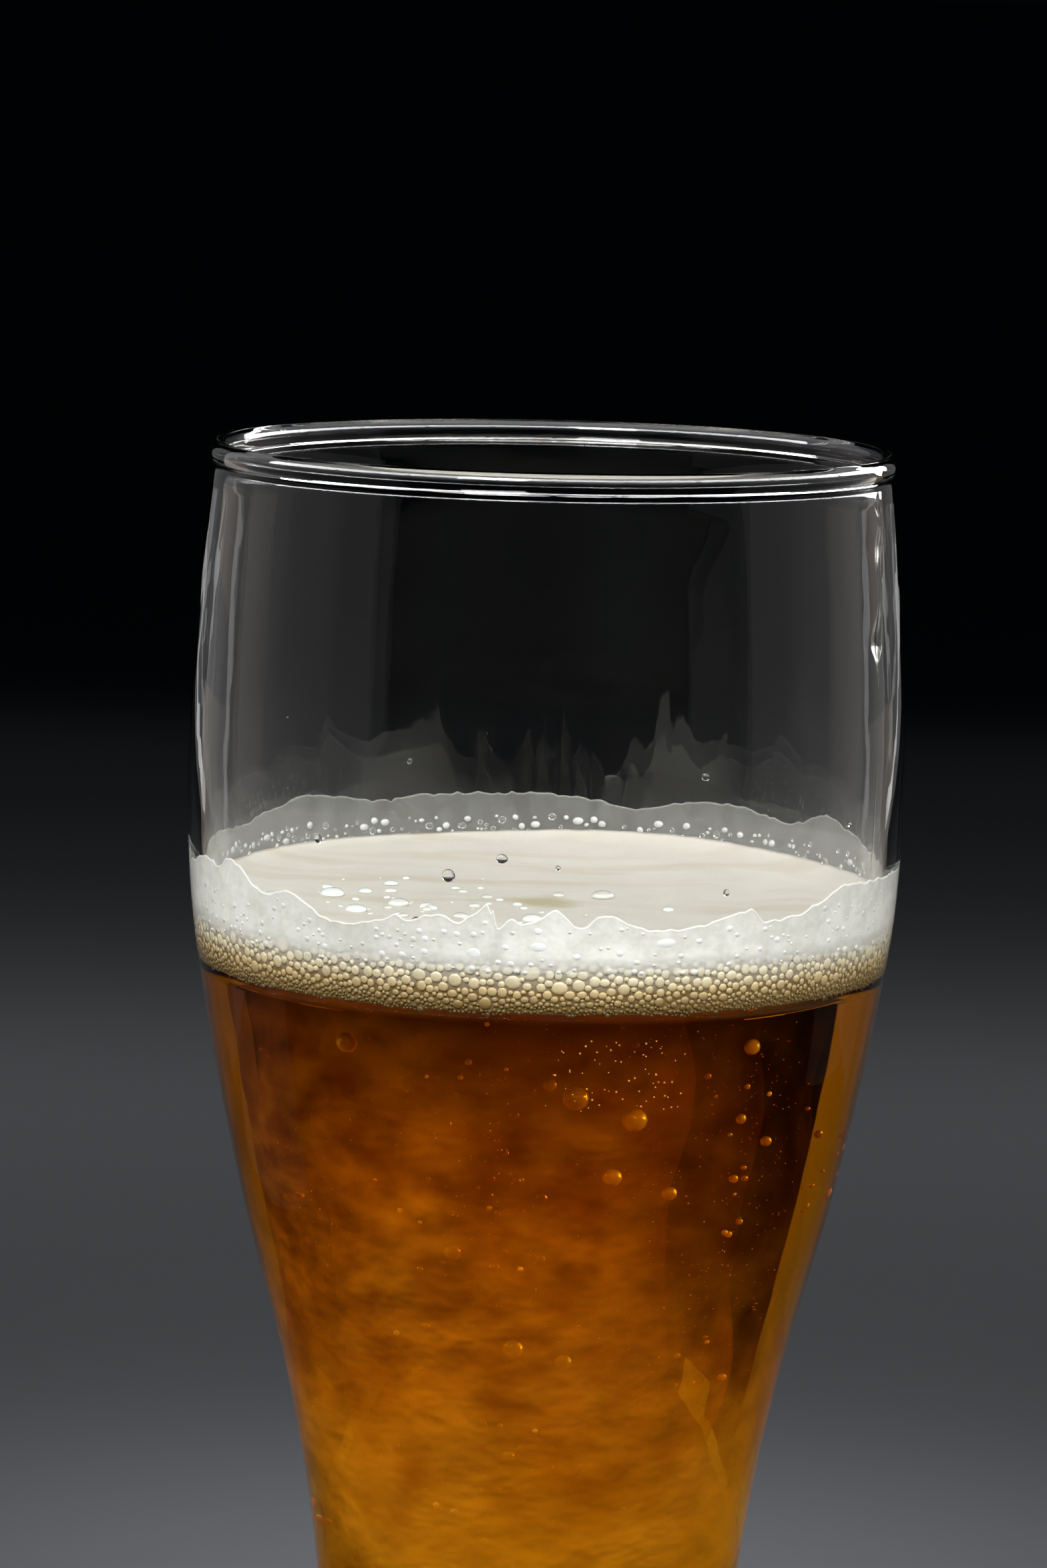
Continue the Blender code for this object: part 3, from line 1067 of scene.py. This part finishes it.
# Darker towards the bottom: partly beer in the froth, and partly painted shade
ramp = add_node(tree, "ShaderNodeValToRGB", {"Fac": rise.outputs[0]})
for position, colour in ((0.14, "#806636"), (0.38, "#D0B684"), (0.66, "#F4EACC")):
    ramp.color_ramp.elements.new(position).color = linear(colour)
ramp.color_ramp.elements[0].color = linear("#4C3818")
ramp.color_ramp.elements[-1].color = linear("#FAF8F0")
tone = add_node(tree, "ShaderNodeAttribute", attribute_name="tone")
darker = add_node(
    tree, "ShaderNodeMapRange", {"Value": tone.outputs["Fac"], "To Min": 0.88, "To Max": 1.05}
)
tint = add_node(
    tree,
    "ShaderNodeVectorMath",
    {0: ramp.outputs["Color"], 3: darker.outputs[0]},
    operation="SCALE",
)
shader = add_node(
    tree, "ShaderNodeBsdfPrincipled", {"Base Color": tint.outputs[0], "Roughness": 0.36, "IOR": 1.34}
)
add_node(tree, "ShaderNodeOutputMaterial", {"Surface": shader.outputs[0]})

rng = np.random.default_rng(5)
angles = rng.random(CELL_TRIES) * 2 * math.pi
ragged_line = np.sin(9 * angles + 1.0) + np.sin(23 * angles + 2.0)
ragged_line = ragged_line + 0.8 * np.sin(57 * angles) + 0.6 * np.sin(131 * angles)
above = (CELLS_TOP - BEER_LEVEL) * rng.random(CELL_TRIES) ** 1.25
heights = BEER_LEVEL + above + CELL_RAGGED * ragged_line / 2
radii = np.interp(above * 1000, CELL_MARKS_MM, CELL_RADII_MM) / 1000
radii *= np.exp(rng.normal(0, CELL_SPREAD, CELL_TRIES))
radii *= np.where(rng.random(CELL_TRIES) < LARGE_CELL_SHARE, LARGE_CELL_SCALE, 1.0)
crowd = np.clip((CELLS_TOP - heights) / 0.0022, 0.06, 1)
wanted = rng.random(CELL_TRIES) < crowd
angles, heights, radii = angles[wanted], heights[wanted], radii[wanted]
kept = packed(angles, heights, radii, CELL_CLOSENESS, CELL_LIMIT)
angles, heights, radii = angles[kept], heights[kept], radii[kept]
feet, level, rising, normal = on_wall(angles, heights)
deep = np.maximum(CELL_HEIGHT_SHARE * radii, CELL_LEAST_HEIGHT)
feet = feet + normal * (CELL_INTO_WALL - deep)[:, None]
stretch = rng.uniform(0.92, 1.1, len(radii))
axes = np.stack(
    [level * (radii * stretch)[:, None], rising * (radii / stretch)[:, None], normal * deep[:, None]], 1
)
tones = rng.random(len(radii))
fine = radii < FINE_CELL_RADIUS
for name, chosen, outline, sides in (
    ("foam_cells", ~fine, DOME, CELL_SIDES),
    ("foam_cells_fine", fine, FINE_DOME, FINE_CELL_SIDES),
):
    cells = blobs(name, feet[chosen], axes[chosen], outline, froth_cells, sides, tones[chosen])

# The film of foam that clings to the wall above the bubbles, thin enough to see through in places. It
# ends above in a bright wet edge that bursting bubbles have left in peaks and hollows.
FILM_STEPS = 1080
FILM_BOTTOM = BEER_LEVEL + 0.0042
FILM_FADE = 0.0022
FILM_INTO_WALL = 0.00025
FILM_THICKNESS = 0.00026
FILM_RIM_HEIGHT = 0.00013
FILM_LACE_M = 0.0028
FILM_NICKS = 0.00011
FILM_NICK_COUNT = 300
# How much the film covers at its edge and deeper down, the share of that at the back, and the cover of
# its rim there. Front and back meet at the sides, between two cosines of the angle from the front.
FILM_COVERS = (0.74, 0.97)
FILM_COVER_DEPTH = 0.004
FILM_BACK_SHARE = 0.11
FILM_BACK_RIM_COVER = 0.20
FILM_SIDE_COSINES = (-0.3, 0.3)
FILM_TINY_BUBBLE_M = 0.0007
# Edge of the film: (degrees from the front, height in millimetres)
FILM_EDGE = (
    (-181, 165.6),
    (-171, 165.5),
    (-160, 165.5),
    (-148, 165.1),
    (-140, 165.9),
    (-132, 166.3),
    (-123, 165.3),
    (-110, 164.4),
    (-95, 164.9),
    (-81, 163.8),
    (-69, 165.0),
    (-64.5, 164.6),
    (-61, 165.8),
    (-58, 165.3),
    (-54, 163.6),
    (-50, 162.9),
    (-44.5, 163.6),
    (-41, 162.6),
    (-38, 161.5),
    (-34, 161.1),
    (-26.5, 161.9),
    (-24, 162.5),
    (-22, 162.2),
    (-17, 162.9),
    (-13, 162.3),
    (-10.6, 163.5),
    (-9, 164.4),
    (-8.1, 164.4),
    (-8.4, 162.9),
    (-7.4, 161.9),
    (-5, 162.8),
    (-3.6, 162.5),
    (-1.3, 162.7),
    (0.4, 163.6),
    (1.9, 164.1),
    (3.6, 163.1),
    (6.2, 162.1),
    (8.4, 163.1),
    (10.5, 163.2),
    (15, 162.0),
    (22.7, 161.8),
    (27, 162.3),
    (31, 163.0),
    (35.6, 163.2),
    (37.4, 162.2),
    (40, 162.0),
    (47.7, 163.0),
    (55.7, 164.7),
    (67, 164.4),
    (78.6, 164.4),
    (95, 164.0),
    (112, 165.5),
    (121.5, 166.4),
    (129, 164.7),
    (136, 165.0),
    (145, 165.7),
    (155, 165.3),
    (164, 164.1),
    (170, 165.0),
    (179, 165.6),
    (189, 165.5),
)


def film_edge(angles):
    """Height of the film's edge at some angles from the front."""
    stations = [(math.radians(degrees), height / 1000) for degrees, height in FILM_EDGE]
    wrapped = (np.asarray(angles) + math.pi) % (2 * math.pi) - math.pi
    nicks = np.random.default_rng(8).normal(0, FILM_NICKS, FILM_NICK_COUNT)
    marks = np.linspace(0, 2 * math.pi, FILM_NICK_COUNT, endpoint=False)
    return along(stations, wrapped) + np.interp(wrapped, marks, nicks, period=2 * math.pi)


# Wet froth film: smooth, glossy and pale grey where the dark shows through it, pure froth below
film_finish, tree = new_material("wet froth film")
place = add_node(tree, "ShaderNodeNewGeometry")
lace = add_node(
    tree,
    "ShaderNodeTexNoise",
    {"Vector": place.outputs["Position"], "Scale": 1 / FILM_LACE_M, "Detail": 3.0, "Roughness": 0.6},
)
laced = add_node(
    tree,
    "ShaderNodeMapRange",
    {"Value": lace.outputs["Fac"], "From Min": 0.34, "From Max": 0.62, "To Min": 0.86, "To Max": 1.14},
)
cover = add_node(tree, "ShaderNodeAttribute", attribute_name="cover")
shown = add_node(
    tree,
    "ShaderNodeMath",
    {0: cover.outputs["Fac"], 1: laced.outputs[0]},
    operation="MULTIPLY",
    use_clamp=True,
)
tiny = add_node(
    tree,
    "ShaderNodeTexVoronoi",
    {"Vector": place.outputs["Position"], "Scale": 1 / FILM_TINY_BUBBLE_M, "Randomness": 1.0},
)
bump = add_node(
    tree,
    "ShaderNodeBump",
    {"Height": tiny.outputs["Distance"], "Strength": 0.25, "Distance": 0.0001},
    invert=True,
)
tint = add_node(
    tree,
    "ShaderNodeMix",
    {"Factor": lace.outputs["Fac"], 6: linear("#F6F2E6"), 7: linear("#FFFEF8")},
    data_type="RGBA",
)
shader = add_node(
    tree,
    "ShaderNodeBsdfPrincipled",
    {"Base Color": tint.outputs[2], "Roughness": 0.3, "IOR": 1.34, "Normal": bump.outputs[0]},
)
clear = add_node(tree, "ShaderNodeBsdfTransparent")
veil = add_node(
    tree, "ShaderNodeMixShader", {0: shown.outputs[0], 1: clear.outputs[0], 2: shader.outputs[0]}
)
add_node(tree, "ShaderNodeOutputMaterial", {"Surface": veil.outputs[0]})

turns = np.arange(FILM_STEPS) * 2 * math.pi / FILM_STEPS
tops = film_edge(turns)
shoulder = tops - FILM_RIM_HEIGHT
rows = [shoulder + (FILM_BOTTOM - shoulder) * down**1.4 for down in np.linspace(0, 1, 22)]
middle = inside(tops) + FILM_INTO_WALL - FILM_THICKNESS / 2
rim = [
    round_ring(middle + FILM_THICKNESS / 2 * math.cos(a), tops - FILM_RIM_HEIGHT * (1 - math.sin(a)), turns)
    for a in np.linspace(math.pi, 0, 8)
]
outer = [round_ring(inside(row) + FILM_INTO_WALL, row, turns) for row in rows[1:]]
inner = [round_ring(inside(row) + FILM_INTO_WALL - FILM_THICKNESS, row, turns) for row in rows[::-1][:-1]]
film = ring_piece("foam_film", [*rim, *outer, *inner, rim[0]], film_finish)
points = np.array([v.co[:] for v in film.data.vertices])
angle = np.arctan2(points[:, 0], -points[:, 1])
below = film_edge(angle) - points[:, 2]
covers = np.clip((points[:, 2] - FILM_BOTTOM) / FILM_FADE, 0, 1)
covers = covers * np.interp(below, (0.0, FILM_COVER_DEPTH), FILM_COVERS)
covers *= np.interp(np.cos(angle), FILM_SIDE_COSINES, (FILM_BACK_SHARE, 1.0))
rim_covers = np.interp(np.cos(angle), FILM_SIDE_COSINES, (FILM_BACK_RIM_COVER, 1.0))
covers = np.where(below < 1.2 * FILM_RIM_HEIGHT, rim_covers, covers)
film.data.attributes.new("cover", "FLOAT", "POINT").data.foreach_set("value", covers)

# Bubbles in the film and on top of the foam: clear wet skins, and lenses painted bright white as painted
# light and highlights, from a quarter of a millimetre to three across. The largest are where the
# photograph shows them.
FILM_BUBBLE_TRIES = 2600
FILM_BUBBLE_LIMIT = 900
FILM_BUBBLE_BOTTOM = 0.1570
FILM_BUBBLE_RISE = 0.0058
FILM_BUBBLE_LEAST = 0.00014
FILM_BUBBLE_MORE = 0.00036
FILM_BUBBLE_CLOSENESS = 1.15
# A radius within the wall beside the film, by which angles are turned into distances along it
FILM_WALL_RADIUS = 0.0388
# Lenses painted bright white, as painted light:
# (degrees from the front, height, half-width and half-height in millimetres)
PAINTED_BRIGHT_LENSES = (
    (19.8, 160.3, 1.60, 0.80),
    (-0.8, 159.9, 1.30, 0.75),
    (-11.1, 159.0, 1.30, 0.95),
    (25.4, 160.4, 0.52, 0.36),
    (-0.9, 161.6, 0.60, 0.50),
    (12.2, 159.3, 0.55, 0.50),
    (5.3, 158.9, 0.60, 0.45),
    (40.5, 159.9, 0.50, 0.42),
    (-19.0, 160.2, 0.50, 0.45),
)
CLEAR_SKINS = (
    (28.6, 161.7, 0.85, 0.55),
    (35.7, 161.7, 0.95, 0.70),
    (12.6, 161.1, 0.50, 0.40),
    (24.8, 161.3, 0.35, 0.30),
    (-20.5, 162.0, 0.50, 0.50),
    (-17.9, 162.1, 0.50, 0.45),
    (-38.6, 169.7, 0.50, 0.50),
    (-15.3, 167.1, 0.72, 0.72),
    (-6.8, 169.2, 0.62, 0.52),
    (2.0, 168.4, 0.28, 0.28),
    (30.0, 165.4, 0.40, 0.40),
    (57.0, 171.3, 0.30, 0.30),
    (150.0, 168.6, 0.45, 0.45),
    (205.0, 169.4, 0.35, 0.35),
)
# On the foam: (right, back, radius) in millimetres
SURFACE_BUBBLES = (
    (-23.5, -3.9, 1.4),
    (-20.4, -14.9, 1.2),
    (-16.0, -8.5, 1.2),
    (-1.2, -18.6, 1.1),
    (6.7, 0.3, 1.3),
    (-17.2, 4.1, 0.8),
    (-19.9, -1.3, 0.8),
    (-12.8, -10.0, 0.9),
    (-9.0, -18.8, 0.8),
    (13.8, -8.3, 0.7),
)
SURFACE_TRIES = 55
SURFACE_MIDDLE = (-0.0140, -0.0080)
SURFACE_SPREAD = 0.010
SURFACE_WITHIN = 0.034
SURFACE_LEAST = 0.00022
SURFACE_MORE = 0.0005
SURFACE_FLAT = 0.55
CAP_INTO_WALL = 0.00034
CAP_ABOVE_INTO_WALL = 0.00008
CAP = ((0, 1), (0.35, 0.94), (0.66, 0.76), (0.88, 0.47), (1, 0.08), (0.97, -0.12), (0, -0.15))

# A bubble's wet skin: clear, so that it shows the froth behind, with a sharp glint
skin, tree = new_material("wet bubble skin")
ripple = add_node(tree, "ShaderNodeTexNoise", {"Scale": 1 / 0.003, "Detail": 1.0})
bump = add_node(
    tree, "ShaderNodeBump", {"Height": ripple.outputs["Fac"], "Strength": 0.05, "Distance": 0.0002}
)
shader = add_node(
    tree,
    "ShaderNodeBsdfPrincipled",
    {
        "Base Color": linear("#FFFFFF"),
        "Roughness": 0.02,
        "IOR": 1.33,
        "Transmission Weight": 1.0,
        "Normal": bump.outputs[0],
    },
)
add_node(
    tree, "ShaderNodeOutputMaterial", {"Surface": lets_lamps_through(tree, shader, linear("#FFFFFF"))}
)

# Painted light: a bubble lit from within the froth, painted bright milky white under a glossy skin;
# on top of the foam it also stands for the bubbles' highlights
lens, tree = new_material("froth bubble painted bright")
tone = add_node(tree, "ShaderNodeAttribute", attribute_name="tone")
tint = add_node(
    tree,
    "ShaderNodeMix",
    {"Factor": tone.outputs["Fac"], 6: linear("#E4E2D8"), 7: linear("#FFFFFC")},
    data_type="RGBA",
)
shader = add_node(
    tree,
    "ShaderNodeBsdfPrincipled",
    {
        "Base Color": tint.outputs[2],
        "Roughness": 0.12,
        "IOR": 1.34,
        "Coat Weight": 0.6,
        "Coat Roughness": 0.05,
    },
)
add_node(tree, "ShaderNodeOutputMaterial", {"Surface": shader.outputs[0]})


def caps_on_wall(name, angles, heights, widths, talls, finish, tones):
    """Low round caps on the inside of the wall, whose faces lie against the glass."""
    feet, level, rising, normal = on_wall(angles, heights)
    above = heights > film_edge(angles)
    deep = np.where(above, 0.20, 0.42) * np.minimum(widths, talls) + 0.00010
    crests = np.where(above, CAP_ABOVE_INTO_WALL, CAP_INTO_WALL)
    feet = feet + normal * (crests - deep)[:, None]
    axes = np.stack([level * widths[:, None], rising * talls[:, None], normal * deep[:, None]], 1)
    made = blobs(name, feet, axes, CAP, finish, 16, tones)


rng = np.random.default_rng(77)
angles = rng.random(FILM_BUBBLE_TRIES) * 2 * math.pi
heights = FILM_BUBBLE_BOTTOM + FILM_BUBBLE_RISE * rng.random(FILM_BUBBLE_TRIES) ** 1.3
radii = FILM_BUBBLE_LEAST + FILM_BUBBLE_MORE * rng.random(FILM_BUBBLE_TRIES) ** 2
for named in (PAINTED_BRIGHT_LENSES, CLEAR_SKINS):
    for degrees, height, wide, tall in named:
        across = np.angle(np.exp(1j * (angles - math.radians(degrees)))) * FILM_WALL_RADIUS
        upward = heights - height / 1000
        gap = (across / (wide / 1000 + radii)) ** 2 + (upward / (tall / 1000 + radii)) ** 2
        radii = np.where(gap < 1.1, 0.0, radii)
usable = (radii > 0) & (heights + radii < film_edge(angles) - 0.0003)
angles, heights, radii = angles[usable], heights[usable], radii[usable]
kept = packed(angles, heights, radii, FILM_BUBBLE_CLOSENESS, FILM_BUBBLE_LIMIT)
angles, heights, radii = angles[kept], heights[kept], radii[kept]
bright = rng.random(len(radii)) < 0.5
bright_tones = np.concatenate([rng.random(bright.sum()), np.ones(len(PAINTED_BRIGHT_LENSES))])
clear_tones = np.zeros((~bright).sum() + len(CLEAR_SKINS))
for name, chosen, listed, finish, tones in (
    ("foam_painted_bright_bubbles", bright, PAINTED_BRIGHT_LENSES, lens, bright_tones),
    ("foam_clear_bubbles", ~bright, CLEAR_SKINS, skin, clear_tones),
):
    named = np.array(listed)
    caps_on_wall(
        name,
        np.concatenate([angles[chosen], np.radians(named[:, 0])]),
        np.concatenate([heights[chosen], named[:, 1] / 1000]),
        np.concatenate([radii[chosen] * 1.1, named[:, 2] / 1000]),
        np.concatenate([radii[chosen] * 0.9, named[:, 3] / 1000]),
        finish,
        tones,
    )

# On top of the foam: bubbles painted bright, as painted highlights
spread = rng.normal(0, SURFACE_SPREAD, (SURFACE_TRIES, 2)) + SURFACE_MIDDLE
spread = spread[np.hypot(*spread.T) < SURFACE_WITHIN]
small = SURFACE_LEAST + SURFACE_MORE * rng.random(len(spread)) ** 2
named = np.array(SURFACE_BUBBLES) / 1000
spots = np.concatenate([spread, named[:, :2]])
sizes = np.concatenate([small, named[:, 2]])
share = np.hypot(*spots.T) / top_radius
around = np.arctan2(spots[:, 0], -spots[:, 1])
feet = np.column_stack([spots, foam_height(around, share) + 0.1 * sizes])
made = blobs("foam_top_bubbles", feet, spheres(sizes, SURFACE_FLAT), CAP, lens, 16, rng.random(len(sizes)))

# The wet streak that beer has left inside the wall at the right: a thin clear ridge of liquid, which
# swells into a slow drop and then thins out down to the foam.
# (height, degrees from the front, half-width, thickness), the last two in millimetres
STREAK = (
    (0.2068, 70.0, 0.25, 0.10),
    (0.2055, 69.5, 0.75, 0.28),
    (0.2035, 70.5, 0.55, 0.22),
    (0.2010, 69.0, 0.85, 0.34),
    (0.1985, 68.0, 0.60, 0.24),
    (0.1962, 68.8, 0.50, 0.20),
    (0.1938, 68.0, 0.62, 0.26),
    (0.1918, 67.0, 1.05, 0.50),
    (0.1900, 66.6, 1.00, 0.55),
    (0.1886, 66.4, 0.40, 0.22),
    (0.1870, 66.4, 0.20, 0.08),
    (0.1800, 66.0, 0.17, 0.07),
    (0.1720, 65.4, 0.19, 0.07),
    (0.1656, 65.2, 0.12, 0.05),
)
STREAK_STEPS = 110
STREAK_SIDES = 12

streak_film, tree = new_material("wet streak of beer")
ripple = add_node(tree, "ShaderNodeTexNoise", {"Scale": 1 / 0.004, "Detail": 2.0})
bump = add_node(
    tree, "ShaderNodeBump", {"Height": ripple.outputs["Fac"], "Strength": 0.1, "Distance": 0.0002}
)
shader = add_node(
    tree,
    "ShaderNodeBsdfPrincipled",
    {
        "Base Color": linear("#FFFDF6"),
        "Roughness": 0.0,
        "IOR": BEER_IOR,
        "Transmission Weight": 1.0,
        "Normal": bump.outputs[0],
    },
)
add_node(
    tree, "ShaderNodeOutputMaterial", {"Surface": lets_lamps_through(tree, shader, linear("#FFFDF6"))}
)
marks = np.array(STREAK)[::-1]
heights = np.linspace(marks[-1, 0], marks[0, 0], STREAK_STEPS)
angle, wide, thick = (along(marks[:, (0, column)], heights) for column in (1, 2, 3))
feet, level, rising, normal = on_wall(np.radians(angle), heights)
turns = np.arange(STREAK_SIDES) * 2 * math.pi / STREAK_SIDES
ends = np.ones(STREAK_STEPS)
ends[[0, -1]] = 0
rings = (
    feet[:, None]
    + level[:, None] * (np.cos(turns)[None] * (wide * ends)[:, None] / 1000)[..., None]
    - normal[:, None] * (np.sin(turns)[None] * (thick * ends)[:, None] / 1000 - 0.00002)[..., None]
)
streak = ring_piece("wet_streak", rings, streak_film)
